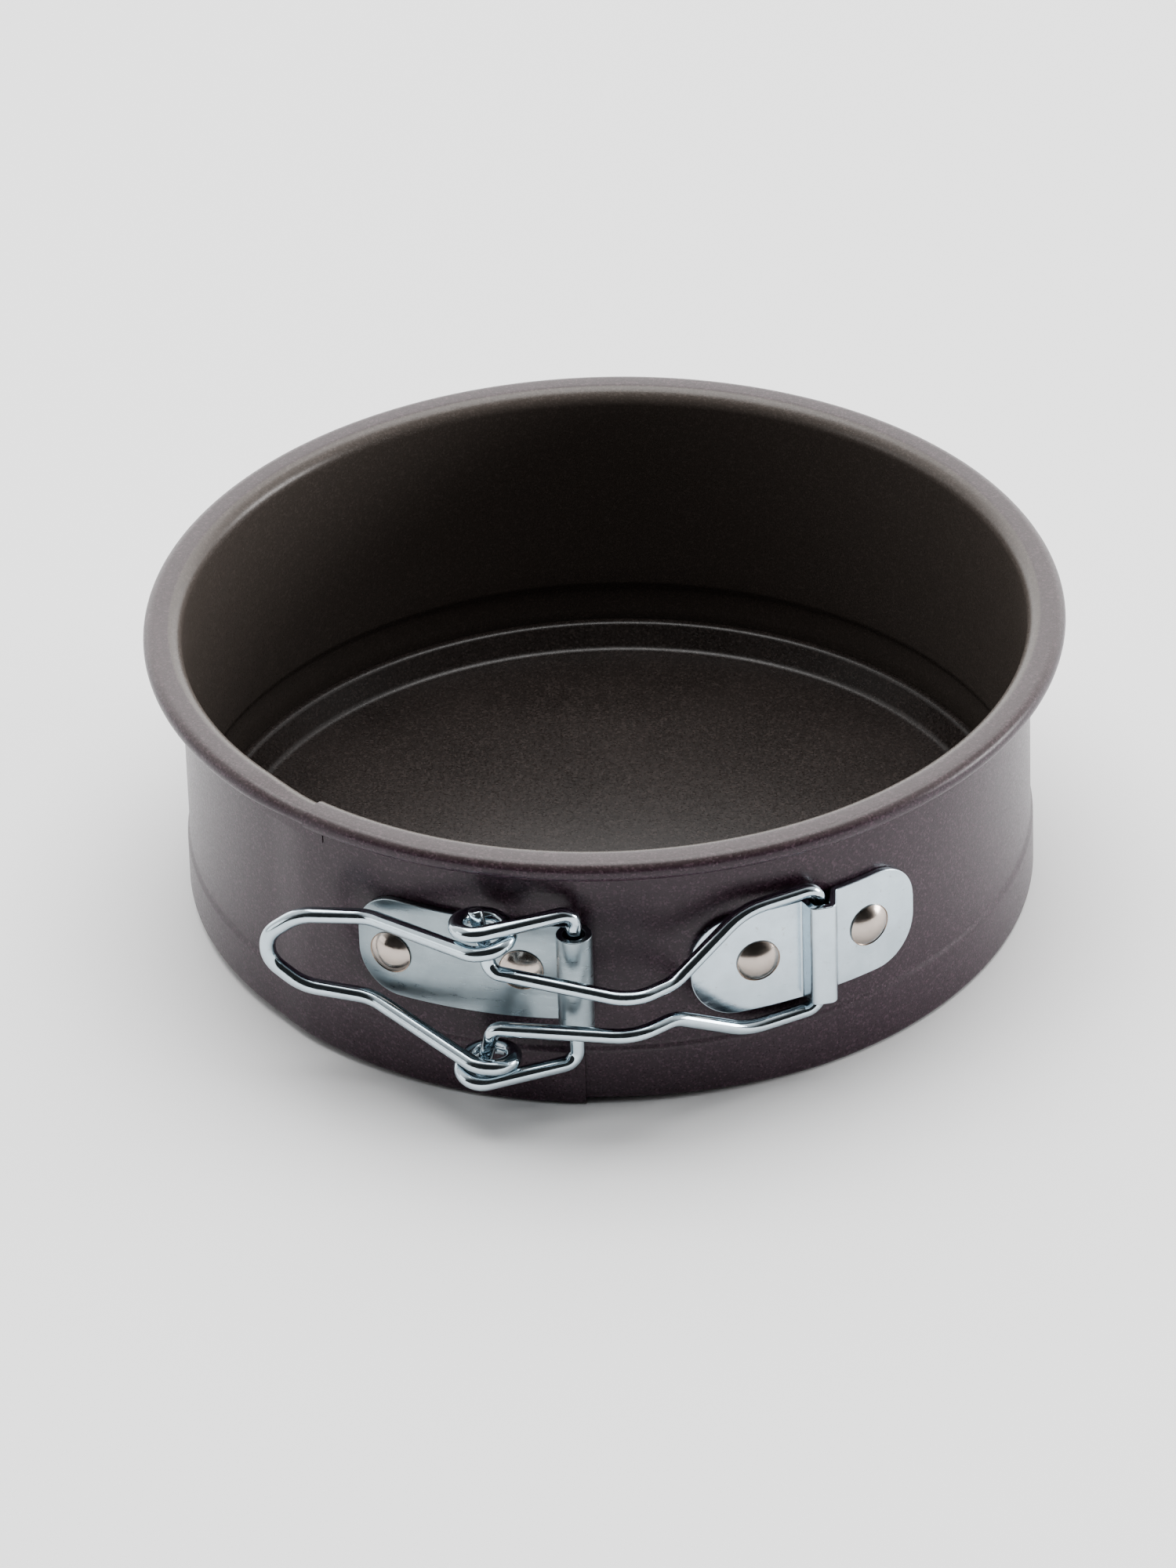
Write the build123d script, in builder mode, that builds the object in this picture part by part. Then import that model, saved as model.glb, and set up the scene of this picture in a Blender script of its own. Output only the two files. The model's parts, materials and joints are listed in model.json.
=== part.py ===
from build123d import *
import os
from math import atan2, cos, degrees, radians, sin

# Springform pan: a sprung sheet-metal ring, a loose base disc and an over-centre wire clasp.
# The frame has +Z up and its origin on the pan's axis, on the surface that the pan stands on.
# Azimuth is the angle about +Z from the front (-Y), positive towards +X.

# Ring
SHEET = 0.5
PAN_HEIGHT = 54.2
WALL_INSIDE_RADIUS = 76.0
RIM_OUTSIDE_RADIUS = 83.0
RIM_ROLL_HEIGHT = 3.9
RIM_SKIRT_GAP = 0.65          # room between wall and rim skirt for the other end of the strip
RIM_SKIRT_BOTTOM = 45.0
WAIST_TOP = 12.2
WAIST_BOTTOM = 10.0
GROOVE_INSIDE_RADIUS = 76.45  # below the waist, where the base sits
LIP_INSIDE_RADIUS = 74.6
LAYER_SHIFT = 0.57            # how far the outer end lies outside the inner end
INNER_END = -40.5             # azimuths of the strip's two ends
OUTER_END = -4.3
RIM_END_GAP = 0.4             # degrees between the two ends of the rolled rim
JOG_START = -48.0
JOG_END = -44.3
FLAP_TOP = 49.2

# Base disc
BASE_SHEET = 0.8
BASE_RADIUS = 75.4
BASE_FLANGE_TOP = 5.2
BASE_FLANGE_INSIDE_RADIUS = 74.0
BASE_FLOOR_RADIUS = 71.0
BASE_EDGE_GAP = 0.05          # between the turned-down edge and the ring's lip

# Clasp plates and rivets
CLASP_HEIGHT = 27.2           # height of the clasp's centre line
PLATE = 1.2
PLATE_HALF_HEIGHT = 10.2
PLATE_END_RADIUS = 8.2
PLATE_SEAT_GAP = 0.05
BARREL_INSIDE_RADIUS = 2.0
HINGE_PLATE_HEIGHT = 28.7     # the hinge plate sits a little above the centre line
BARREL_HALF_LENGTH = 9.8
BARREL_AZIMUTH = -5.0
HINGE_PLATE_END = -35.0
HINGE_RIVET_PLACES = ((-30.1, 27.5), (-12.1, 28.9))     # azimuth and height
CATCH_PLATE_ENDS = (9.8, 43.0)
CATCH_RIVET_PLACES = ((18.85, CLASP_HEIGHT), (35.3, CLASP_HEIGHT))
BRIDGE_LEFT_RADIUS = 80.1     # of the bridge's inner face, which rises towards its right end
BRIDGE_RIGHT_RADIUS = 81.0
BRIDGE_FOOT_LEFT = 25.95      # azimuths of the bridge's four bends, on its inner face
BRIDGE_TOP_LEFT = 26.15
BRIDGE_TOP_RIGHT = 27.75
BRIDGE_FOOT_RIGHT = 29.7
RIVET_HEAD_RADIUS = 4.05
RIVET_HEAD_HEIGHT = 1.6
RIVET_SHANK_RADIUS = 1.9
RIVET_HOLE_RADIUS = 1.95
RIVET_TAIL_RADIUS = 3.0
RIVET_TAIL_END = 75.66        # distance of the tail's inner face from the pan's axis
RIVET_TAIL_HEIGHT = 0.22
CATCH_HOLE_RADIUS = 2.2       # the catch rivets move with the ring's other end, so they clear the band

# Clasp wires
LEVER_WIRE_RADIUS = 1.45
LINK_WIRE_RADIUS = 1.35
EYE_CENTRE = (-22.8, -81.8)
EYE_COIL_RADIUS = 4.6         # centre line of the coil
EYE_CORNERS = 9               # corners of the coil's path, 45 degrees apart
LEVER_ARM_RISE = 15.7         # of the arm from barrel to eye, above the centre line
LEVER_LOOP_RISE = 11.8        # of the finger loop's arm where it leaves the eye
LEVER_END_GAP = 0.4           # between the wire's two ends, inside the barrel
KNEE = (-43.0, -68.5, 8.5)    # x, y and rise above the centre line, as are the points below
LOOP_SHOULDER = (-55.2, -65.6, 7.4)
LOOP_TIP = (-61.0, -64.2, 2.6)
SADDLE_AZIMUTH = 27.3
SADDLE_RADIUS = 78.35
HOOK_END = (-24.0, -81.0, 17.6)
HOOK_FOOT = (-21.7, -83.3, 6.0)
LINK_CREST = (2.9, -90.5, 3.8)
LINK_NARROW_END = (10.3, -85.0, 3.8)
LINK_SHOULDER = (22.7, -76.4, 12.6)
LINK_SADDLE_RISE = 12.6

WALL_OUTSIDE_RADIUS = WALL_INSIDE_RADIUS + SHEET
FLAP_OUTSIDE_RADIUS = WALL_OUTSIDE_RADIUS + LAYER_SHIFT
HINGE_SEAT_RADIUS = FLAP_OUTSIDE_RADIUS + PLATE_SEAT_GAP
CATCH_SEAT_RADIUS = WALL_OUTSIDE_RADIUS + PLATE_SEAT_GAP
BARREL_OUTSIDE_RADIUS = BARREL_INSIDE_RADIUS + PLATE
BARREL_CENTRE_RADIUS = HINGE_SEAT_RADIUS + BARREL_OUTSIDE_RADIUS


def polar(radius, azimuth):
    """The plan point at a radius and an azimuth."""
    return radius * sin(radians(azimuth)), -radius * cos(radians(azimuth))


def radial_plane(azimuth, height=0):
    """The upright plane through the axis at an azimuth, with its x along the radius, y along +Z."""
    outward = (*polar(1, azimuth), 0)
    normal = (-cos(radians(azimuth)), -sin(radians(azimuth)), 0)
    return Plane(origin=(0, 0, height), x_dir=outward, z_dir=normal)


def facing_plane(radius, azimuth, height):
    """The plane that touches the wall at an azimuth, looking outward, with its y along +Z."""
    x, y = polar(radius, azimuth)
    across = (cos(radians(azimuth)), sin(radians(azimuth)), 0)
    return Plane(origin=(x, y, height), x_dir=across, z_dir=(*polar(1, azimuth), 0))


def sheet_section(points, radii, thickness):
    """The closed section of a bent sheet, from the path of its inner or upper face."""
    with BuildLine() as path:
        FilletPolyline(*points, radius=radii)
        offset(amount=thickness, side=Side.RIGHT)
    make_face(path.edges())


# ---------------------------------------------------------------- band

RING_PATH = [
    (LIP_INSIDE_RADIUS, SHEET),
    (GROOVE_INSIDE_RADIUS, SHEET),
    (GROOVE_INSIDE_RADIUS, WAIST_BOTTOM),
    (WALL_INSIDE_RADIUS, WAIST_TOP),
    (WALL_INSIDE_RADIUS, PAN_HEIGHT),
    (RIM_OUTSIDE_RADIUS, PAN_HEIGHT),
    (RIM_OUTSIDE_RADIUS, PAN_HEIGHT - RIM_ROLL_HEIGHT),
    (WALL_OUTSIDE_RADIUS + RIM_SKIRT_GAP + SHEET, PAN_HEIGHT - RIM_ROLL_HEIGHT),
    (WALL_OUTSIDE_RADIUS + RIM_SKIRT_GAP + SHEET, RIM_SKIRT_BOTTOM),
]
RING_BENDS = [0.6, 3.0, 3.0, 3.0, 1.9, 1.9, 0.9]

FLAP_PATH = [
    (GROOVE_INSIDE_RADIUS + LAYER_SHIFT, 0),
    (GROOVE_INSIDE_RADIUS + LAYER_SHIFT, WAIST_BOTTOM),
    (WALL_INSIDE_RADIUS + LAYER_SHIFT, WAIST_TOP),
    (WALL_INSIDE_RADIUS + LAYER_SHIFT, FLAP_TOP),
]
FLAP_BENDS = [3.0, 3.0]

with BuildPart() as band:
    # the strip with its rolled rim, all the way round from one rim end to the other
    with BuildSketch(radial_plane(INNER_END)):
        sheet_section(RING_PATH, RING_BENDS, SHEET)
    revolve(axis=Axis.Z, revolution_arc=360 - RIM_END_GAP)
    # the outer end, a plain flap that lies over the inner end
    with BuildSketch(radial_plane(JOG_START)):
        sheet_section(FLAP_PATH, FLAP_BENDS, SHEET)
    revolve(axis=Axis.Z, revolution_arc=OUTER_END - JOG_START)
    # the jog that steps the strip outward into the flap
    with BuildSketch(radial_plane(JOG_START)):
        with Locations((WALL_OUTSIDE_RADIUS + LAYER_SHIFT / 2 - 0.1, (WAIST_TOP + FLAP_TOP) / 2)):
            Rectangle(LAYER_SHIFT, FLAP_TOP - WAIST_TOP - SHEET)
    revolve(axis=Axis.Z, revolution_arc=JOG_END - JOG_START)
    # rivet holes
    for azimuth, height in HINGE_RIVET_PLACES:
        with BuildSketch(facing_plane(WALL_OUTSIDE_RADIUS + 0.02, azimuth, height)):
            Circle(RIVET_HOLE_RADIUS)
        extrude(amount=2, mode=Mode.SUBTRACT)
    for azimuth, height in CATCH_RIVET_PLACES:
        with BuildSketch(facing_plane(WALL_INSIDE_RADIUS - 2, azimuth, height)):
            Circle(CATCH_HOLE_RADIUS)
        extrude(amount=4, mode=Mode.SUBTRACT)
band.part.label = "band"


# ---------------------------------------------------------------- base disc

BASE_PATH = [
    (0, BASE_SHEET),
    (BASE_FLOOR_RADIUS, BASE_SHEET),
    (BASE_FLANGE_INSIDE_RADIUS, BASE_FLANGE_TOP),
    (BASE_RADIUS, BASE_FLANGE_TOP),
    (BASE_RADIUS, SHEET + BASE_EDGE_GAP),
]

with BuildPart() as base_disc:
    with BuildSketch(radial_plane(0)):
        sheet_section(BASE_PATH, [1.6, 0.6, 0.9], BASE_SHEET)
    revolve(axis=Axis.Z, revolution_arc=360)
base_disc.part.label = "base_disc"


# ---------------------------------------------------------------- clasp plates

def arc_between(radius, start, end):
    """The plan arc about the pan's axis between two azimuths."""
    ThreePointArc(polar(radius, start), polar(radius, (start + end) / 2), polar(radius, end))


BARREL_CENTRE = polar(BARREL_CENTRE_RADIUS, BARREL_AZIMUTH)
PLATE_BOTTOM = Plane.XY.offset(CLASP_HEIGHT - PLATE_HALF_HEIGHT)

with BuildPart() as hinge_plate:
    # the curved leaf
    with BuildSketch(Plane.XY.offset(HINGE_PLATE_HEIGHT - PLATE_HALF_HEIGHT)):
        with BuildLine():
            arc_between(HINGE_SEAT_RADIUS, HINGE_PLATE_END - 1, BARREL_AZIMUTH)
            arc_between(HINGE_SEAT_RADIUS + PLATE, HINGE_PLATE_END - 1, BARREL_AZIMUTH)
            for azimuth in (HINGE_PLATE_END - 1, BARREL_AZIMUTH):
                Line(polar(HINGE_SEAT_RADIUS, azimuth), polar(HINGE_SEAT_RADIUS + PLATE, azimuth))
        make_face()
    extrude(amount=2 * PLATE_HALF_HEIGHT)
    # its outline: two rounded corners at the far end, a slight taper towards the barrel
    outline_plane = facing_plane(WALL_INSIDE_RADIUS - 8, HINGE_PLATE_END / 2, HINGE_PLATE_HEIGHT)
    leaf_left = outline_plane.to_local_coords(Vector(*polar(HINGE_SEAT_RADIUS + PLATE, HINGE_PLATE_END))).X
    with BuildSketch(outline_plane):
        with BuildLine():
            FilletPolyline(
                (PLATE_HALF_HEIGHT * 2, -BARREL_HALF_LENGTH),
                (leaf_left, -PLATE_HALF_HEIGHT),
                (leaf_left, PLATE_HALF_HEIGHT),
                (PLATE_HALF_HEIGHT * 2, BARREL_HALF_LENGTH),
                radius=PLATE_END_RADIUS,
            )
            Line((PLATE_HALF_HEIGHT * 2, BARREL_HALF_LENGTH), (PLATE_HALF_HEIGHT * 2, -BARREL_HALF_LENGTH))
        make_face()
    extrude(amount=20, mode=Mode.INTERSECT)
    # the rolled barrel
    with BuildSketch(Plane.XY.offset(HINGE_PLATE_HEIGHT - BARREL_HALF_LENGTH)):
        with Locations(BARREL_CENTRE):
            Circle(BARREL_OUTSIDE_RADIUS)
            Circle(BARREL_INSIDE_RADIUS, mode=Mode.SUBTRACT)
    extrude(amount=2 * BARREL_HALF_LENGTH)
    with BuildSketch(Plane.XY.offset(HINGE_PLATE_HEIGHT)):
        with Locations(BARREL_CENTRE):
            Circle(BARREL_INSIDE_RADIUS)
    extrude(amount=PLATE_HALF_HEIGHT + 1, both=True, mode=Mode.SUBTRACT)
    # the slit where the roll comes back to the leaf
    slit_turn = BARREL_AZIMUTH + 180 + 28
    slit_middle = (BARREL_INSIDE_RADIUS + BARREL_OUTSIDE_RADIUS) / 2
    with BuildSketch(Plane.XY.offset(HINGE_PLATE_HEIGHT)):
        with Locations(BARREL_CENTRE):
            with PolarLocations(slit_middle + 0.2, 1, start_angle=slit_turn):
                Rectangle(PLATE + 0.6, 0.4)
    extrude(amount=PLATE_HALF_HEIGHT + 1, both=True, mode=Mode.SUBTRACT)
    # rivet holes
    for azimuth, height in HINGE_RIVET_PLACES:
        with BuildSketch(facing_plane(WALL_INSIDE_RADIUS, azimuth, height)):
            Circle(RIVET_HOLE_RADIUS)
        extrude(amount=4, mode=Mode.SUBTRACT)
hinge_plate.part.label = "hinge_plate"

with BuildPart() as catch_plate:
    # a curved strip with a raised bridge across its middle
    with BuildSketch(PLATE_BOTTOM):
        with BuildLine() as strip:
            start, end = CATCH_PLATE_ENDS
            arc_between(CATCH_SEAT_RADIUS, start - 1, BRIDGE_FOOT_LEFT)
            Line(polar(CATCH_SEAT_RADIUS, BRIDGE_FOOT_LEFT), polar(BRIDGE_LEFT_RADIUS, BRIDGE_TOP_LEFT))
            Line(polar(BRIDGE_LEFT_RADIUS, BRIDGE_TOP_LEFT), polar(BRIDGE_RIGHT_RADIUS, BRIDGE_TOP_RIGHT))
            Line(polar(BRIDGE_RIGHT_RADIUS, BRIDGE_TOP_RIGHT), polar(CATCH_SEAT_RADIUS, BRIDGE_FOOT_RIGHT))
            arc_between(CATCH_SEAT_RADIUS, BRIDGE_FOOT_RIGHT, end + 1)
            offset(amount=PLATE, side=Side.RIGHT)
        make_face(strip.edges())
    extrude(amount=2 * PLATE_HALF_HEIGHT)
    # its outline: rounded at both ends
    half_length = (CATCH_SEAT_RADIUS + PLATE) * sin(radians((end - start) / 2))
    with BuildSketch(facing_plane(WALL_INSIDE_RADIUS - 8, (start + end) / 2, CLASP_HEIGHT)):
        RectangleRounded(2 * half_length, 2 * PLATE_HALF_HEIGHT, PLATE_END_RADIUS)
    extrude(amount=20, mode=Mode.INTERSECT)
    # rivet holes
    for azimuth, height in CATCH_RIVET_PLACES:
        with BuildSketch(facing_plane(WALL_INSIDE_RADIUS, azimuth, height)):
            Circle(RIVET_HOLE_RADIUS)
        extrude(amount=4, mode=Mode.SUBTRACT)
catch_plate.part.label = "catch_plate"


# ---------------------------------------------------------------- rivets

def rivet_profile(place, inner_end, seat, tail_height):
    """Half the section of a rivet whose domed head rests on a seat and whose shank points inward."""
    dome_radius = (RIVET_HEAD_RADIUS ** 2 + RIVET_HEAD_HEIGHT ** 2) / (2 * RIVET_HEAD_HEIGHT)
    dome_centre = seat + RIVET_HEAD_HEIGHT - dome_radius
    dome_angle = degrees(atan2(RIVET_HEAD_RADIUS, dome_radius - RIVET_HEAD_HEIGHT))
    tail_radius = RIVET_TAIL_RADIUS if tail_height else RIVET_SHANK_RADIUS
    with BuildSketch(radial_plane(*place)) as profile:
        with BuildLine():
            CenterArc((dome_centre, 0), dome_radius, 0, dome_angle)
            Polyline(
                (seat, RIVET_HEAD_RADIUS),
                (seat, RIVET_SHANK_RADIUS),
                (inner_end + tail_height, RIVET_SHANK_RADIUS),
            )
            if tail_height:
                Line((inner_end + tail_height, RIVET_SHANK_RADIUS), (inner_end + tail_height, tail_radius))
                Line((inner_end + tail_height, tail_radius), (inner_end, tail_radius))
            Line((inner_end, tail_radius), (inner_end, 0))
            Line((inner_end, 0), (seat + RIVET_HEAD_HEIGHT, 0))
        make_face()
    return profile.sketch


def rivet_axis(azimuth, height):
    """The line through a rivet's middle, pointing outward from the pan's axis."""
    return Axis((0, 0, height), (*polar(1, azimuth), 0))


HINGE_RIVET_SIZES = (WALL_OUTSIDE_RADIUS + 0.04, HINGE_SEAT_RADIUS + PLATE + 0.02, 0)
CATCH_RIVET_SIZES = (RIVET_TAIL_END, CATCH_SEAT_RADIUS + PLATE + 0.02, RIVET_TAIL_HEIGHT)

with BuildPart() as hinge_rivet_left:
    place = HINGE_RIVET_PLACES[0]
    revolve(rivet_profile(place, *HINGE_RIVET_SIZES), axis=rivet_axis(*place))
hinge_rivet_left.part.label = "hinge_rivet_left"

with BuildPart() as hinge_rivet_right:
    place = HINGE_RIVET_PLACES[1]
    revolve(rivet_profile(place, *HINGE_RIVET_SIZES), axis=rivet_axis(*place))
hinge_rivet_right.part.label = "hinge_rivet_right"

with BuildPart() as catch_rivet_left:
    place = CATCH_RIVET_PLACES[0]
    revolve(rivet_profile(place, *CATCH_RIVET_SIZES), axis=rivet_axis(*place))
catch_rivet_left.part.label = "catch_rivet_left"

with BuildPart() as catch_rivet_right:
    place = CATCH_RIVET_PLACES[1]
    revolve(rivet_profile(place, *CATCH_RIVET_SIZES), axis=rivet_axis(*place))
catch_rivet_right.part.label = "catch_rivet_right"


# ---------------------------------------------------------------- clasp wires

def above_and_below(upper_points):
    """The path through points given as (x, y, rise), then through their mirror images, in mirror order."""
    upper = [(x, y, CLASP_HEIGHT + rise) for x, y, rise in upper_points]
    lower = [(x, y, CLASP_HEIGHT - rise) for x, y, rise in reversed(upper_points)]
    return upper + lower


def eye_corners():
    """Corners of the coiled eye, one full turn that drops from the barrel's arm to the finger loop's."""
    corner_distance = EYE_COIL_RADIUS / cos(radians(22.5))
    for corner in range(EYE_CORNERS):
        turn = radians(-112.5 - 45 * corner)
        share = corner / (EYE_CORNERS - 1)
        yield (
            EYE_CENTRE[0] + corner_distance * cos(turn),
            EYE_CENTRE[1] + corner_distance * sin(turn),
            LEVER_ARM_RISE + (LEVER_LOOP_RISE - LEVER_ARM_RISE) * share,
        )


LEVER_POINTS = [
    (*BARREL_CENTRE, LEVER_END_GAP / 2),
    (*BARREL_CENTRE, LEVER_ARM_RISE),
    *eye_corners(),
    KNEE,
    LOOP_SHOULDER,
    LOOP_TIP,
]
LEVER_BENDS = [2.6, 3.3] + [4.0] * (EYE_CORNERS - 1) + [8.0, 9.0, 5.2]

with BuildPart() as lever_wire:
    with BuildLine():
        FilletPolyline(*above_and_below(LEVER_POINTS), radius=LEVER_BENDS + LEVER_BENDS[::-1])
    with BuildSketch(Plane.XY.offset(CLASP_HEIGHT + LEVER_END_GAP / 2)):
        with Locations(BARREL_CENTRE):
            Circle(LEVER_WIRE_RADIUS)
    sweep()
lever_wire.part.label = "lever_wire"

LINK_POINTS = [
    HOOK_END,
    HOOK_FOOT,
    LINK_CREST,
    LINK_NARROW_END,
    LINK_SHOULDER,
    (*polar(SADDLE_RADIUS, SADDLE_AZIMUTH), LINK_SADDLE_RISE),
]
LINK_BENDS = [2.6, 8.0, 7.0, 14.0, 3.0]

with BuildPart() as link_wire:
    with BuildLine() as link_path:
        FilletPolyline(*above_and_below(LINK_POINTS), radius=LINK_BENDS + LINK_BENDS[::-1])
    with BuildSketch(Plane(origin=link_path.line @ 0, z_dir=link_path.line % 0)):
        Circle(LINK_WIRE_RADIUS)
    sweep()
link_wire.part.label = "link_wire"


# ---------------------------------------------------------------- export

os.makedirs("parts", exist_ok=True)
export_step(band.part, "parts/band.step")
export_step(base_disc.part, "parts/base_disc.step")
export_step(hinge_plate.part, "parts/hinge_plate.step")
export_step(hinge_rivet_left.part, "parts/hinge_rivet_left.step")
export_step(hinge_rivet_right.part, "parts/hinge_rivet_right.step")
export_step(catch_plate.part, "parts/catch_plate.step")
export_step(catch_rivet_left.part, "parts/catch_rivet_left.step")
export_step(catch_rivet_right.part, "parts/catch_rivet_right.step")
export_step(lever_wire.part, "parts/lever_wire.step")
export_step(link_wire.part, "parts/link_wire.step")
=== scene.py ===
import json
from math import atan2, ceil, cos, pi, radians, sin, tan

import bmesh
import bpy
from mathutils import Matrix, Quaternion, Vector


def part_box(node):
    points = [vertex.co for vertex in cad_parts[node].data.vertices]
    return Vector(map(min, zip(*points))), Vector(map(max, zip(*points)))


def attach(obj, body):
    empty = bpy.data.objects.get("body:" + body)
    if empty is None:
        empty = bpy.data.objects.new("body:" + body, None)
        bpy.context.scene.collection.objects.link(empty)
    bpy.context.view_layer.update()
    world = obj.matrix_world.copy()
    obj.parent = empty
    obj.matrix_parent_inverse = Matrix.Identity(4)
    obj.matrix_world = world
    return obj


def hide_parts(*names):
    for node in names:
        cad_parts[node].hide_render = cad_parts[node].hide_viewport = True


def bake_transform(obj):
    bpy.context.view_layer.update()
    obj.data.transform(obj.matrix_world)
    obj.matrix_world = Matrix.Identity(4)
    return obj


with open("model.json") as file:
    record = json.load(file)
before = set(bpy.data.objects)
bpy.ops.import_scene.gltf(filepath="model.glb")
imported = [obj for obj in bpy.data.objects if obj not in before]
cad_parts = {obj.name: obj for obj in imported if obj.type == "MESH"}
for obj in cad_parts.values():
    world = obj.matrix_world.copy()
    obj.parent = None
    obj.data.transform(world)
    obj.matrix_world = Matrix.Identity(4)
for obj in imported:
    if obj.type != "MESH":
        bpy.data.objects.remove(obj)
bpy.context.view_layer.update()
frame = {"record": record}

# Lengths below are in millimetres. The frame is the pan's: +Z up, the clasp at the front (-Y),
# azimuths about +Z from the front towards +X.
MM = 0.001
SHEET = 0.5
WALL_MIDDLE = 76.25            # middle of the ring's sheet
GROOVE_MIDDLE = 76.70          # the same below the waist
PAN_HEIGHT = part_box("band")[1][2] / MM
RIM_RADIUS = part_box("band")[1][0] / MM
WAIST = (11.0, 12.2)           # heights between which the sheet steps inward
RIM_ROLL_HEIGHT = 3.9
SKIRT_GAP = 0.65
SKIRT_BOTTOM = 45.0
LAYER_SHIFT = 0.57             # how far the outer layer stands off where the ends overlap
RIM_SEAM = -40.5               # azimuth where the two ends of the rolled rim meet
LEFT_ROLL_END = RIM_SEAM - 0.2
RIM_SINK = 0.95                # how far the left roll dips before the seam
OUTER_END = -4.3               # azimuth of the outer layer's end
JOG = (-52.0, -44.0)           # azimuths between which the outer layer steps outward
FLAP_TOP = 49.2
CLASP_HEIGHT = 27.2
HINGE_PLATE_HEIGHT = 28.7
PLATE = 1.2
PLATE_HALF_HEIGHT = 10.2
HINGE_SEAT = 77.12             # radius of the hinge plate's inner face
CATCH_SEAT = 76.55             # the same of the catch plate
CURL_RADIUS = 2.6              # middle of the sheet rolled into the barrel
RIVET_RADIUS = 4.02
RIVET_HEIGHT = 1.55
SHANK_RADIUS = 1.9
LEVER_WIRE_RADIUS = 1.45
LINK_WIRE_RADIUS = 1.35
EYE_COIL_RADIUS = 4.6
EYE_TOP = 15.7                 # of the coil, above the clasp's middle
EYE_PITCH = 3.9
JOINTS = {joint["name"]: joint for joint in frame["record"]["behaviour"]["joints"]}
BARREL = Vector(JOINTS["lever_swing"]["pos_m"][:2]) / MM
SADDLE = Vector(JOINTS["link_swing"]["pos_m"][:2]) / MM


# ---------------------------------------------------------------- shape helpers

def polar(radius, azimuth):
    return Vector((radius * sin(radians(azimuth)), -radius * cos(radians(azimuth))))


def smooth(value, low, high):
    """0 below low, 1 above high, and an S-curve between them."""
    share = min(max((value - low) / (high - low), 0.0), 1.0)
    return share * share * (3 - 2 * share)


def rounded(points, radii, degrees_per_step=9.0):
    """Points along a path whose corners are arcs. One radius for each corner between the two ends."""
    points = [Vector(p).to_3d() for p in points]
    path = [points[0]]
    for before, corner, after, radius in zip(points, points[1:], points[2:], radii):
        back = (before - corner).normalized()
        ahead = (after - corner).normalized()
        turn = pi - back.angle(ahead)
        if radius <= 0 or turn < 1e-4:
            path.append(corner)
            continue
        start = corner + back * radius * tan(turn / 2)
        centre = corner + (back + ahead).normalized() * radius / cos(turn / 2)
        axis = back.cross(ahead) * -1
        steps = max(2, ceil(turn / radians(degrees_per_step)))
        for step in range(steps + 1):
            path.append(centre + Quaternion(axis, turn * step / steps) @ (start - centre))
    path.append(points[-1])
    return path


def divided(path, longest):
    """The same path with no run longer than that."""
    result = [path[0]]
    for a, b in zip(path, path[1:]):
        pieces = max(1, ceil((b - a).length / longest))
        result += [a.lerp(b, piece / pieces) for piece in range(1, pieces + 1)]
    return result


def path_length(path):
    return sum((b - a).length for a, b in zip(path, path[1:]))


def mesh_object(name, verts, faces):
    mesh = bpy.data.meshes.new(name)
    mesh.from_pydata([tuple(Vector(v) * MM) for v in verts], [], faces)
    mesh.validate()
    obj = bpy.data.objects.new(name, mesh)
    bpy.context.collection.objects.link(obj)
    finish_mesh(obj)
    return obj


def finish_mesh(obj):
    """Merges doubled points, turns the faces outward and shades them smooth."""
    bm = bmesh.new()
    bm.from_mesh(obj.data)
    bmesh.ops.remove_doubles(bm, verts=bm.verts, dist=1e-7)
    bmesh.ops.dissolve_degenerate(bm, edges=bm.edges, dist=1e-8)
    bmesh.ops.recalc_face_normals(bm, faces=bm.faces)
    bm.to_mesh(obj.data)
    bm.free()
    obj.data.shade_smooth()


def apply_modifiers(obj):
    depsgraph = bpy.context.evaluated_depsgraph_get()
    mesh = bpy.data.meshes.new_from_object(obj.evaluated_get(depsgraph))
    obj.modifiers.clear()
    old, obj.data = obj.data, mesh
    bpy.data.meshes.remove(old)
    mesh.name = obj.name


def tube(name, path, radius, sides=20, end_round=0.35):
    """A wire along a path, with slightly rounded ends."""
    tangents = []
    for i, point in enumerate(path):
        ahead = (path[min(i + 1, len(path) - 1)] - point)
        behind = (point - path[max(i - 1, 0)])
        tangent = (ahead.normalized() if ahead.length > 0 else Vector()) + (
            behind.normalized() if behind.length > 0 else Vector())
        tangents.append(tangent.normalized())
    side = tangents[0].orthogonal().normalized()
    rings = []
    for i, (point, tangent) in enumerate(zip(path, tangents)):
        if i:
            side = tangents[i - 1].rotation_difference(tangent) @ side
            side = (side - tangent * side.dot(tangent)).normalized()
        up = tangent.cross(side)
        rings.append((point, side.copy(), up, radius))
    for end, sign in ((0, 1), (-1, -1)):
        point, across, up, _ = rings[end]
        extra = []
        for turn in (30, 60, 90):
            shrink = radius - end_round * (1 - cos(radians(turn)))
            depth = end_round * (1 - sin(radians(turn)))
            extra.append((point + tangents[end] * sign * depth, across, up, shrink))
        first = (point + tangents[end] * sign * end_round, across, up, radius)
        if end == 0:
            rings = extra[::-1] + [first] + rings[1:]
        else:
            rings = rings[:-1] + [first] + extra
    verts, faces = [], []
    for point, across, up, size in rings:
        for k in range(sides):
            turn = 2 * pi * k / sides
            verts.append(point + (across * cos(turn) + up * sin(turn)) * size)
    for i in range(len(rings) - 1):
        for k in range(sides):
            a, b = i * sides + k, i * sides + (k + 1) % sides
            faces.append((a, b, b + sides, a + sides))
    last = (len(rings) - 1) * sides
    faces.append(tuple(range(sides)))
    faces.append(tuple(last + k for k in reversed(range(sides))))
    return mesh_object(name, verts, faces)


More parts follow.
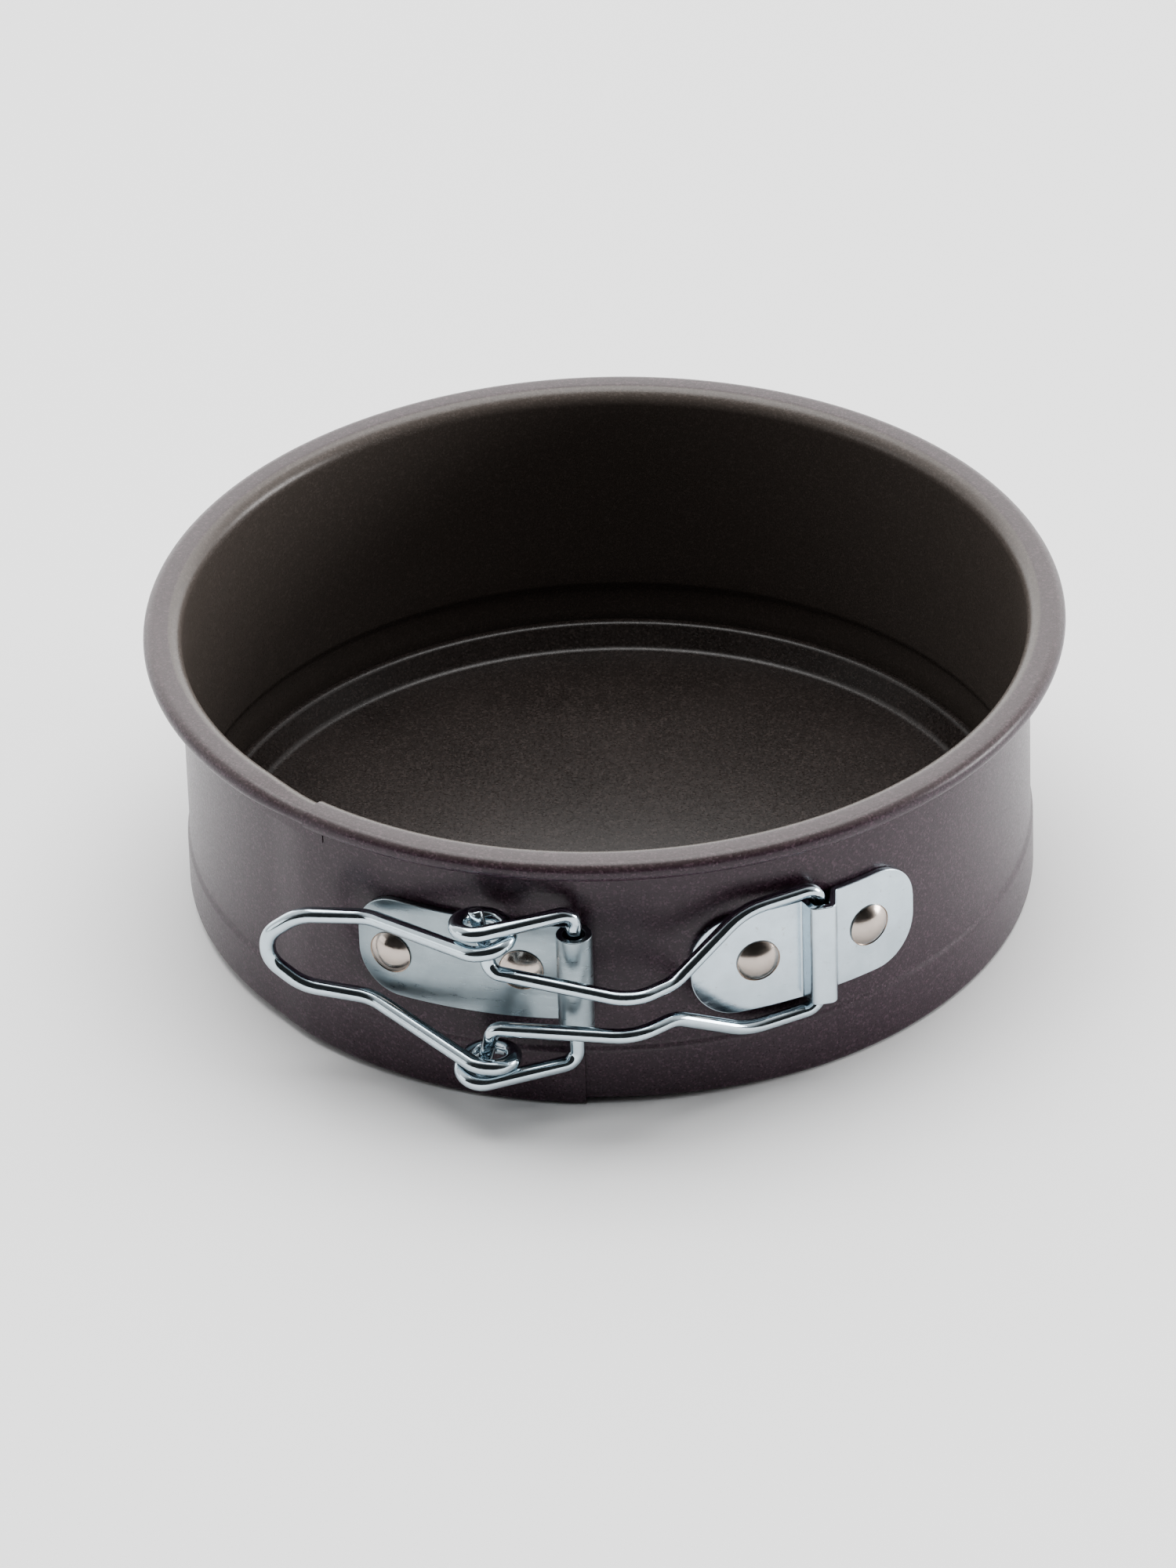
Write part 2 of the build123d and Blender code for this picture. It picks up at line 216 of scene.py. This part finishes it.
def lathe(name, profile, origin, axis, segments):
    """Turns a profile of (radius, height) points about an axis through origin."""
    origin, axis = Vector(origin), Vector(axis).normalized()
    across = axis.orthogonal().normalized()
    up = axis.cross(across)
    verts, rows, faces = [], [], []
    for radius, height in profile:
        if radius < 1e-6:
            rows.append([len(verts)] * segments)
            verts.append(origin + axis * height)
        else:
            rows.append(list(range(len(verts), len(verts) + segments)))
            for k in range(segments):
                turn = 2 * pi * k / segments
                verts.append(origin + axis * height + (across * cos(turn) + up * sin(turn)) * radius)
    for low, high in zip(rows, rows[1:]):
        for k in range(segments):
            corners = []
            for index in (low[k], low[(k + 1) % segments], high[(k + 1) % segments], high[k]):
                if index not in corners:
                    corners.append(index)
            if len(corners) > 2:
                faces.append(tuple(corners))
    return mesh_object(name, verts, faces)


def skin(name, rows, shown, thickness):
    """A bent sheet through a grid of middle points. shown(i, j) says which cells it has."""
    width = len(rows[0])
    verts = [point for row in rows for point in row]
    faces = []
    for i in range(len(rows) - 1):
        for j in range(width - 1):
            if shown(i, j):
                a = i * width + j
                faces.append((a, a + 1, a + width + 1, a + width))
    obj = mesh_object(name, verts, faces)
    solid = obj.modifiers.new("sheet", "SOLIDIFY")
    solid.thickness = thickness * MM
    solid.offset = 0
    solid.use_even_offset = True
    solid.thickness_clamp = 0
    apply_modifiers(obj)
    obj.data.shade_smooth()
    mark_sharp(obj, 50)
    return obj


def mark_sharp(obj, angle):
    """Edges that turn more than the angle are shaded as creases."""
    bm = bmesh.new()
    bm.from_mesh(obj.data)
    for edge in bm.edges:
        if len(edge.link_faces) == 2 and edge.calc_face_angle(0) > radians(angle):
            edge.smooth = False
    bm.to_mesh(obj.data)
    bm.free()


def plate(name, plan, outline, height, edge=0.22):
    """A bent plate. plan is the path of its middle seen from above; outline is drawn on the flat blank,
    x along that path and y up from the height of the plate's middle."""
    blank = []
    count = len(outline)
    area = sum(a.x * b.y - b.x * a.y for a, b in zip(outline, outline[1:] + outline[:1]))
    flip = 1 if area > 0 else -1
    inward = []
    for i in range(count):
        along = (outline[(i + 1) % count] - outline[i - 1]).normalized()
        inward.append(Vector((-along.y, along.x)) * flip)
    levels = []
    for turn in (0, 22.5, 45, 67.5, 90):
        inset = edge * (1 - cos(radians(turn)))
        level = PLATE / 2 - edge + edge * sin(radians(turn))
        levels.append((inset, level))
    levels = [(inset, -level) for inset, level in reversed(levels)] + levels
    for inset, level in levels:
        blank += [(p.x + n.x * inset, p.y + n.y * inset, level) for p, n in zip(outline, inward)]
    faces = []
    for row in range(len(levels) - 1):
        for k in range(count):
            a, b = row * count + k, row * count + (k + 1) % count
            faces.append((a, b, b + count, a + count))
    faces.append(tuple(reversed(range(count))))
    faces.append(tuple((len(levels) - 1) * count + k for k in range(count)))
    bm = bmesh.new()
    for v in blank:
        bm.verts.new(v)
    bm.verts.ensure_lookup_table()
    for face in faces:
        bm.faces.new([bm.verts[k] for k in face])
    stations = [0.0]
    for a, b in zip(plan, plan[1:]):
        stations.append(stations[-1] + (b - a).length)
    low = min(p.x for p in outline)
    high = max(p.x for p in outline)
    for station in stations:
        if low + 0.01 < station < high - 0.01:
            bmesh.ops.bisect_plane(bm, geom=bm.verts[:] + bm.edges[:] + bm.faces[:],
                                   plane_co=(station, 0, 0), plane_no=(1, 0, 0), dist=1e-5)
    normals = []
    for i, point in enumerate(plan):
        along = (plan[min(i + 1, len(plan) - 1)] - plan[max(i - 1, 0)]).normalized()
        normals.append(Vector((along.y, -along.x)))
    for v in bm.verts:
        s, z, level = v.co
        i = 0
        while i < len(stations) - 2 and stations[i + 1] < s:
            i += 1
        share = (s - stations[i]) / (stations[i + 1] - stations[i])
        middle = plan[i].to_2d().lerp(plan[i + 1].to_2d(), share)
        normal = normals[i].lerp(normals[i + 1], share)
        place = middle + normal * level / max(normal.length, 0.1)
        v.co = Vector((place.x, place.y, height + z)) * MM
    bmesh.ops.recalc_face_normals(bm, faces=bm.faces)
    mesh = bpy.data.meshes.new(name)
    bm.to_mesh(mesh)
    bm.free()
    obj = bpy.data.objects.new(name, mesh)
    bpy.context.collection.objects.link(obj)
    mesh.shade_smooth()
    weighted = obj.modifiers.new("normals", "WEIGHTED_NORMAL")
    weighted.keep_sharp = True
    weighted.weight = 100
    apply_modifiers(obj)
    return obj


def give(obj, material, body=None, nodes=()):
    obj.data.materials.clear()
    obj.data.materials.append(material)
    if body:
        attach(obj, body)
    if nodes:
        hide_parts(*nodes)
    return obj


# ---------------------------------------------------------------- materials

class Nodes:
    """A short way to write a material's nodes."""

    def __init__(self, name, **uniform):
        self.material = bpy.data.materials.new(name)
        self.material.use_nodes = True
        self.tree = self.material.node_tree
        self.shader = self.tree.nodes["Principled BSDF"]
        for key, value in uniform.items():
            self.shader.inputs[key.replace("_", " ")].default_value = value

    def add(self, kind, links=(), **values):
        node = self.tree.nodes.new(kind)
        for key, value in values.items():
            if key in node.inputs.keys():
                node.inputs[key].default_value = value
            else:
                setattr(node, key, value)
        for socket, source in dict(links).items():
            self.tree.links.new(source, node.inputs[socket])
        return node

    def spread(self, source, low, high, to_low, to_high):
        node = self.tree.nodes.new("ShaderNodeMapRange")
        for key, value in (("From Min", low), ("From Max", high), ("To Min", to_low), ("To Max", to_high)):
            node.inputs[key].default_value = value
        self.tree.links.new(source, node.inputs["Value"])
        return node.outputs["Result"]

    def mix(self, factor, a, b):
        node = self.tree.nodes.new("ShaderNodeMix")
        node.data_type = "RGBA"
        sockets = {s.identifier: s for s in node.inputs}
        for key, value in (("Factor_Float", factor), ("A_Color", a), ("B_Color", b)):
            if isinstance(value, bpy.types.NodeSocket):
                self.tree.links.new(value, sockets[key])
            elif key == "Factor_Float":
                sockets[key].default_value = value
            else:
                sockets[key].default_value = (*value, 1)
        return [s for s in node.outputs if s.identifier == "Result_Color"][0]

    def bump(self, height, distance, strength=1.0, normal=None):
        node = self.tree.nodes.new("ShaderNodeBump")
        node.inputs["Strength"].default_value = strength
        node.inputs["Distance"].default_value = distance
        self.tree.links.new(height, node.inputs["Height"])
        if normal:
            self.tree.links.new(normal, node.inputs["Normal"])
        return node.outputs["Normal"]

    def to(self, socket, source):
        self.tree.links.new(source, self.shader.inputs[socket])


def nonstick(name, inside, outside_and_rim_shade, fleck, outside_fleck, roughness):
    """Metallic non-stick coating: a dark film with fine flakes and a faint orange peel. The strip's outer face
    has a darker, cooler tone; the inner face's colour is painted lighter as fill light on the shaded wall, and
    a point attribute sets the mix."""
    n = Nodes(name, Metallic=0.06, IOR=1.37)
    where = n.add("ShaderNodeTexCoord").outputs["Object"]
    cloud = n.add("ShaderNodeTexNoise", {"Vector": where}, Scale=42.0, Detail=4.0, Roughness=0.6)
    grain = n.add("ShaderNodeTexNoise", {"Vector": where}, Scale=2300.0, Detail=2.0, Roughness=0.6)
    flakes = n.add("ShaderNodeTexVoronoi", {"Vector": where}, Scale=3000.0)
    peel = n.add("ShaderNodeTexNoise", {"Vector": where}, Scale=700.0, Detail=3.0, Roughness=0.55)
    # 0 takes the inner colour, painted lighter as fill light; 1 takes the darker outer colour, which the rim's
    # underside gets as painted shade
    side = n.add("ShaderNodeAttribute", attribute_name="outside_and_rim_shade").outputs["Fac"]
    film = n.mix(side, inside, outside_and_rim_shade)
    flecks = n.mix(side, fleck, outside_fleck)
    film = n.mix(n.spread(cloud.outputs["Fac"], 0.35, 0.65, 0.0, 0.35), film, flecks)
    pick = n.add("ShaderNodeSeparateColor", {"Color": flakes.outputs["Color"]})
    spark = n.spread(pick.outputs["Red"], 0.70, 1.0, 0.0, 0.8)
    film = n.mix(n.spread(grain.outputs["Fac"], 0.42, 0.75, 0.0, 0.5), film, flecks)
    sparks = n.mix(side, [c * 1.5 for c in fleck], [c * 2.2 for c in outside_fleck])
    n.to("Base Color", n.mix(spark, film, sparks))
    n.to("Roughness", n.spread(grain.outputs["Fac"], 0.3, 0.7, roughness - 0.06, roughness + 0.08))
    normal = n.bump(peel.outputs["Fac"], 0.00004, 0.5)
    n.to("Normal", n.bump(pick.outputs["Green"], 0.00003, 0.5, normal))
    return n.material


def zinc(name, colour, roughness, streaks, scale=(1, 1, 1)):
    """Bright zinc plating: cool white metal with drawing marks, small blotches, specks and a soft haze."""
    n = Nodes(name, Metallic=1.0)
    where = n.add("ShaderNodeTexCoord").outputs["Object"]
    stretched = n.add("ShaderNodeMapping", {"Vector": where}, Scale=scale)
    marks = n.add("ShaderNodeTexNoise", {"Vector": stretched.outputs["Vector"]}, Scale=streaks,
                  Detail=5.0, Roughness=0.65)
    haze = n.add("ShaderNodeTexNoise", {"Vector": where}, Scale=160.0, Detail=4.0, Roughness=0.6)
    pits = n.add("ShaderNodeTexNoise", {"Vector": where}, Scale=1300.0, Detail=2.0)
    tint = n.mix(n.spread(haze.outputs["Fac"], 0.35, 0.65, 0.0, 1.0), [c * 0.84 for c in colour], colour)
    dirt = n.spread(pits.outputs["Fac"], 0.67, 0.78, 0.0, 0.55)
    n.to("Base Color", n.mix(dirt, tint, (0.30, 0.29, 0.28)))
    n.to("Roughness", n.spread(marks.outputs["Fac"], 0.3, 0.7, roughness - 0.05, roughness + 0.09))
    normal = n.bump(marks.outputs["Fac"], 0.00004, 0.45)
    n.to("Normal", n.bump(pits.outputs["Fac"], 0.00002, 0.35, normal))
    return n.material


# the inner colours are painted lighter as fill light on the shaded inner wall; the outer colours are the
# coating's darker, cooler tone
RING_COATING = nonstick("ring_coating", (0.058, 0.048, 0.041), (0.013, 0.003, 0.009), (0.062, 0.050, 0.044),
                        (0.032, 0.017, 0.025), 0.31)
BASE_COATING = nonstick("base_coating", (0.009, 0.0066, 0.0056), (0.009, 0.0066, 0.0056), (0.026, 0.020, 0.018),
                        (0.026, 0.020, 0.018), 0.30)
# the hinge plate's zinc: rougher than the catch plate's, and its colour painted darker as shade
ZINC_DULL_AND_SHADED = zinc("zinc_dull_and_shaded", (0.30, 0.36, 0.39), 0.29, 260.0, (1, 1, 5))
ZINC_PLATE = zinc("zinc_plate", (0.56, 0.66, 0.73), 0.20, 260.0, (1, 1, 5))
ZINC_WIRE = zinc("zinc_wire", (0.52, 0.62, 0.68), 0.09, 420.0)
RIVET = zinc("rivet_nickel", (0.50, 0.43, 0.38), 0.17, 500.0)


# ---------------------------------------------------------------- ring

lip = [(74.6, SHEET / 2), (GROOVE_MIDDLE, SHEET / 2), (GROOVE_MIDDLE, WAIST[0]), (WALL_MIDDLE, WAIST[1])]
roll_out = RIM_RADIUS - SHEET / 2
roll_low = PAN_HEIGHT - RIM_ROLL_HEIGHT + SHEET / 2
roll_high = PAN_HEIGHT - SHEET / 2
skirt = WALL_MIDDLE + SHEET + SKIRT_GAP
ring_path = rounded(
    lip + [(WALL_MIDDLE, roll_high), (roll_out, roll_high), (roll_out, roll_low), (skirt, roll_low),
           (skirt, SKIRT_BOTTOM)],
    [0.85, 2.2, 2.2, 2.75, 1.7, 1.65, 1.15], 7.5)
ring_path = divided([p.to_2d() for p in ring_path], 4.0)
below_flap_top = [i for i, p in enumerate(ring_path) if p.y < FLAP_TOP and p.x < skirt - 0.05]
last_flap_point = max(below_flap_top)
ring_path[last_flap_point] = Vector((WALL_MIDDLE, FLAP_TOP))


def foot_lift(azimuth, outer_layer):
    """How far the strip's lower edge is off the floor. The sprung strip sits a little askew at the seam."""
    if outer_layer:
        return 1.6 * smooth(-azimuth, 14, 64) * (1 - smooth(-azimuth, 80, 165))
    return 0.9 * (1 - smooth(azimuth, -2, 34))


def ring_row(azimuth, outer_layer):
    """The strip's middle line at an azimuth. The outer layer steps outward before it reaches the seam."""
    row = []
    for i, (radius, height) in enumerate(ring_path):
        height += foot_lift(azimuth, outer_layer) * max(0.0, 1 - height / WAIST[0])
        if outer_layer:
            on_wall = i <= last_flap_point + 2
            step = smooth(azimuth, *JOG)
            sink = RIM_SINK * smooth(azimuth, JOG[0], RIM_SEAM - 1.0)
            if on_wall:
                radius += LAYER_SHIFT * step * (1 - smooth(height, FLAP_TOP, PAN_HEIGHT - 2))
            else:
                radius -= sink * smooth(radius, WALL_MIDDLE + 1, RIM_RADIUS - 1)
            height -= sink * smooth(height, FLAP_TOP, PAN_HEIGHT)
        row.append(Vector((*polar(radius, azimuth), height)))
    return row


def azimuths(start, end, step=1.25):
    count = ceil((end - start) / step)
    return [start + (end - start) * k / count for k in range(count + 1)]


left_turns = azimuths(-180, JOG[0])
left_turns += azimuths(JOG[0], LEFT_ROLL_END, 0.8)[1:]
left_turns += azimuths(LEFT_ROLL_END, OUTER_END)[1:]
left_rows = [ring_row(a, True) for a in left_turns]
first_flap_row = left_turns.index(LEFT_ROLL_END)


def in_left_strip(i, j):
    """Past the seam the outer layer is only a flap without a rim."""
    return i < first_flap_row or j < last_flap_point


def mark_outside_and_rim_shade(obj):
    """Writes the coating's tone mix per point: 0 on the strip's inner face, 1 on its outer face and below; the
    rim gets 0.6 on top to 1 on its underside as painted shade.
    """
    values = []
    for v in obj.data.vertices:
        flat = v.co.xy.length
        radial = v.normal.xy.dot(v.co.xy) / flat
        # the rim's coat is painted darker, the most on its downward-facing underside as painted shade
        if flat > 0.0785:
            values.append(0.6 + 0.4 * smooth(-v.normal.z, -0.8, -0.25))
        else:
            values.append(smooth(radial - v.normal.z, -0.3, 0.3))
    obj.data.attributes.new("outside_and_rim_shade", "FLOAT", "POINT").data.foreach_set("value", values)


ring_left = skin("ring_left", left_rows, in_left_strip, SHEET)
right_rows = [ring_row(a, False) for a in azimuths(RIM_SEAM, 180)]
ring_right = skin("ring_right", right_rows, lambda i, j: True, SHEET)
mark_outside_and_rim_shade(ring_left)
mark_outside_and_rim_shade(ring_right)
give(ring_left, RING_COATING, "ring", ["band"])
give(ring_right, RING_COATING, None, ["band"])
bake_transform(ring_right)


# ---------------------------------------------------------------- base disc

base_path = rounded([(0, 0.4), (70.8, 0.4), (73.6, 4.8), (75.0, 4.8), (75.0, 2.6)], [2.2, 0.9, 0.75], 10)
base_path = divided([p.to_2d() for p in base_path], 6.0)
base_path = [Vector((p.x, p.y + 0.25 * max(0, 1 - (p.x / 68) ** 2))) for p in base_path]
sides = []
for i, point in enumerate(base_path):
    along = (base_path[min(i + 1, len(base_path) - 1)] - base_path[max(i - 1, 0)]).normalized()
    sides.append(Vector((-along.y, along.x)) * 0.4)
profile = [p + s for p, s in zip(base_path, sides)] + [p - s for p, s in zip(base_path, sides)][::-1]
profile = [(max(p.x, 0), max(p.y, 0)) for p in profile]
base = lathe("base_disc_pressed", profile, (0, 0, 0), (0, 0, 1), 192)
mark_sharp(base, 50)
give(base, BASE_COATING, "base", ["base_disc"])


# ---------------------------------------------------------------- clasp plates

def blank_outline(points, radii):
    return [p.to_2d() for p in rounded([*points], radii, 7.5)]


hinge_middle = HINGE_SEAT + PLATE / 2
leaf = [polar(hinge_middle, a) for a in azimuths(-35.0, -5.0, 1.0)]
curl_start = atan2(-BARREL.y, -BARREL.x)
curl = []
for turn in range(8, 320, 8):
    angle = curl_start - radians(turn)
    curl.append(BARREL + Vector((cos(angle), sin(angle))) * CURL_RADIUS)
hinge_plan = leaf + curl
hinge_length = path_length(hinge_plan)
leaf_length = path_length(leaf)
barrel_half = 9.75
hinge_outline = blank_outline(
    [(hinge_length / 2, -barrel_half), (0, -PLATE_HALF_HEIGHT), (0, PLATE_HALF_HEIGHT), (leaf_length - 3, 9.85),
     (hinge_length, barrel_half), (hinge_length, -barrel_half), (leaf_length - 3, -9.85)],
    [8.2, 8.2, 0, 0, 0])[1:]
hinge = plate("hinge_leaf", hinge_plan, hinge_outline, HINGE_PLATE_HEIGHT)
give(hinge, ZINC_DULL_AND_SHADED, "ring", ["hinge_plate"])

catch_middle = CATCH_SEAT + PLATE / 2
# the middles of the sheet at the bridge's bends: the left riser is radial, the right one leans outward
bridge_bends = [polar(catch_middle, 25.5), polar(80.7, 25.72), polar(81.6, 28.05), polar(catch_middle, 30.0)]
catch_corners = [*[polar(catch_middle, a) for a in azimuths(9.8, 24.5, 1.2)], *bridge_bends,
                 *[polar(catch_middle, a) for a in azimuths(31.2, 43.0, 1.25)]]
bends = [0.0] * (len(catch_corners) - 2)
for k, radius in enumerate((1.0, 0.8, 0.9, 1.2)):
    bends[catch_corners.index(bridge_bends[0]) - 1 + k] = radius
catch_plan = [p.to_2d() for p in rounded(catch_corners, bends, 12)]
catch_length = path_length(catch_plan)
catch_outline = blank_outline(
    [(catch_length / 2, -PLATE_HALF_HEIGHT), (0, -PLATE_HALF_HEIGHT), (0, PLATE_HALF_HEIGHT),
     (catch_length, PLATE_HALF_HEIGHT), (catch_length, -PLATE_HALF_HEIGHT),
     (catch_length / 2, -PLATE_HALF_HEIGHT)],
    [8.6, 8.6, 8.6, 8.6])[1:]
catch = plate("catch_strip", catch_plan, catch_outline, CLASP_HEIGHT)
give(catch, ZINC_PLATE, "ring_end", ["catch_plate"])


# ---------------------------------------------------------------- rivets

def rivet(name, azimuth, rivet_height, seat, inner_end, body, node, tail):
    """A domed head with a slightly rolled edge, its shank, and a flat tail if it has one."""
    radius, height = RIVET_RADIUS, RIVET_HEIGHT
    dome = (radius ** 2 + height ** 2) / (2 * height)
    profile = [(0, seat + height)]
    for k in range(1, 11):
        turn = atan2(radius - 0.12, dome - height) * k / 10
        profile.append((dome * sin(turn), seat + height - dome + dome * cos(turn)))
    profile += [(radius, seat + 0.22), (radius, seat + 0.12), (radius - 0.15, seat)]
    profile.append((SHANK_RADIUS, seat))
    if tail:
        profile += [(SHANK_RADIUS, inner_end + 0.22), (2.9, inner_end + 0.2), (3.0, inner_end + 0.1)]
        profile.append((2.8, inner_end))
        profile += [(0.9, inner_end), (0, inner_end + 0.08)]
    else:
        profile += [(SHANK_RADIUS, inner_end), (0, inner_end)]
    direction = (*polar(1, azimuth), 0)
    obj = lathe(name, profile, (0, 0, rivet_height), direction, 48)
    mark_sharp(obj, 55)
    return give(obj, RIVET, body, [node])


rivet("hinge_rivet_a", -30.1, 27.5, 78.34, 76.55, "ring", "hinge_rivet_left", False)
rivet("hinge_rivet_b", -12.1, 28.9, 78.34, 76.55, "ring", "hinge_rivet_right", False)
rivet("catch_rivet_a", 18.85, CLASP_HEIGHT, 77.77, 75.66, "ring_end", "catch_rivet_left", True)
rivet("catch_rivet_b", 35.3, CLASP_HEIGHT, 77.77, 75.66, "ring_end", "catch_rivet_right", True)


# ---------------------------------------------------------------- clasp wires

def mirrored(points):
    upper = [(x, y, CLASP_HEIGHT + z) for x, y, z in points]
    lower = [(x, y, CLASP_HEIGHT - z) for x, y, z in reversed(points)]
    return upper + lower


eye = Vector((-22.8, -81.8))
corner_distance = EYE_COIL_RADIUS / cos(radians(22.5))
corners = []
for k in range(9):
    turn = radians(-112.5 - 45 * k)
    place = eye + Vector((cos(turn), sin(turn))) * corner_distance
    corners.append((place.x, place.y, EYE_TOP - EYE_PITCH * k / 8))
lever_points = [(*BARREL, 0.2), (*BARREL, EYE_TOP), *corners, (-43.0, -68.5, 8.5),
                (-55.2, -65.6, 7.4), (-61.0, -64.2, 2.6)]
lever_bends = [2.6, 3.3] + [4.0] * 8 + [8.0, 9.0, 5.2]
lever_path = rounded(mirrored(lever_points), lever_bends + lever_bends[::-1], 7.5)
lever = tube("lever_bent_wire", lever_path, LEVER_WIRE_RADIUS)
give(lever, ZINC_WIRE, "lever", ["lever_wire"])

link_points = [(-24.0, -81.0, 17.6), (-21.7, -83.3, 6.0), (2.9, -90.5, 3.8), (10.3, -85.0, 3.8),
               (22.7, -76.4, 12.6), (*SADDLE, 12.6)]
link_bends = [2.6, 8.0, 7.0, 14.0, 3.0]
link_path = rounded(mirrored(link_points), link_bends + link_bends[::-1], 7.5)
link = tube("link_bent_wire", link_path, LINK_WIRE_RADIUS)
give(link, ZINC_WIRE, "link", ["link_wire"])


# ---------------------------------------------------------------- floor, light and camera

floor_corners = [(-3000, -3000, 0), (3000, -3000, 0), (3000, 3000, 0), (-3000, 3000, 0)]
floor = mesh_object("floor", floor_corners, [(0, 1, 2, 3)])
floor_look = Nodes("floor_paper", Roughness=0.9, IOR=1.3)
floor_look.shader.inputs["Base Color"].default_value = (0.90, 0.90, 0.90, 1)
floor.data.materials.append(floor_look.material)

world = bpy.data.worlds.new("studio")
bpy.context.scene.world = world
world.use_nodes = True
# a white room whose front, where the photographer stands, is dark
sky = world.node_tree.nodes
direction = sky.new("ShaderNodeSeparateXYZ")
world.node_tree.links.new(sky.new("ShaderNodeTexCoord").outputs["Generated"], direction.inputs[0])
glow = sky.new("ShaderNodeMath")
glow.operation = "MULTIPLY"
for factor, levels in enumerate(((-0.5, 0.15, 0.03, 1.3), (0.35, 0.8, 1.0, 3.0))):
    fade = sky.new("ShaderNodeMapRange")
    fade.interpolation_type = "SMOOTHSTEP"
    for socket, number in zip(("From Min", "From Max", "To Min", "To Max"), levels):
        fade.inputs[socket].default_value = number
    world.node_tree.links.new(direction.outputs["Y"], fade.inputs["Value"])
    world.node_tree.links.new(fade.outputs["Result"], glow.inputs[factor])
sky["Background"].inputs["Color"].default_value = (1.0, 1.0, 1.0, 1)
world.node_tree.links.new(glow.outputs["Value"], sky["Background"].inputs["Strength"])


def softbox(name, place, target, width, height, power):
    light = bpy.data.lights.new(name, "AREA")
    light.shape = "RECTANGLE"
    light.size, light.size_y = width, height
    light.energy = power
    obj = bpy.data.objects.new(name, light)
    bpy.context.collection.objects.link(obj)
    obj.location = place
    obj.rotation_euler = (Vector(target) - Vector(place)).to_track_quat("-Z", "Y").to_euler()


softbox("overhead", (0.0, 0.25, 1.25), (0, 0, 0), 1.3, 1.0, 30.0)
softbox("left", (-1.1, -0.25, 0.22), (0, 0, 0.03), 0.5, 0.34, 1.0)
softbox("right", (1.2, 0.1, 0.22), (0, 0, 0.03), 0.5, 0.34, 12.0)

# the camera looks down on the clasp side from far off, through a long lens
elevation, roll, turn = radians(33.275), radians(1.878), radians(0.143)
distance = 1832.6
level_right = Vector((cos(turn), sin(turn), 0))
level_up = Vector((-sin(turn) * sin(elevation), cos(turn) * sin(elevation), cos(elevation)))
look = level_up.cross(level_right)
right = level_right * cos(roll) - level_up * sin(roll)
up = level_right * sin(roll) + level_up * cos(roll)
eye_point = Vector((0, 0, 52.25)) - right * 2.9 - up * 29.56 - look * distance
camera = bpy.data.objects.new("camera", bpy.data.cameras.new("camera"))
bpy.context.collection.objects.link(camera)
rotation = Matrix((right, up, -look)).transposed()
camera.matrix_world = Matrix.Translation(eye_point * MM) @ rotation.to_4x4()
camera.data.sensor_width = 36.0
camera.data.lens = 233.883
camera.data.clip_end = 20
bpy.context.scene.camera = camera
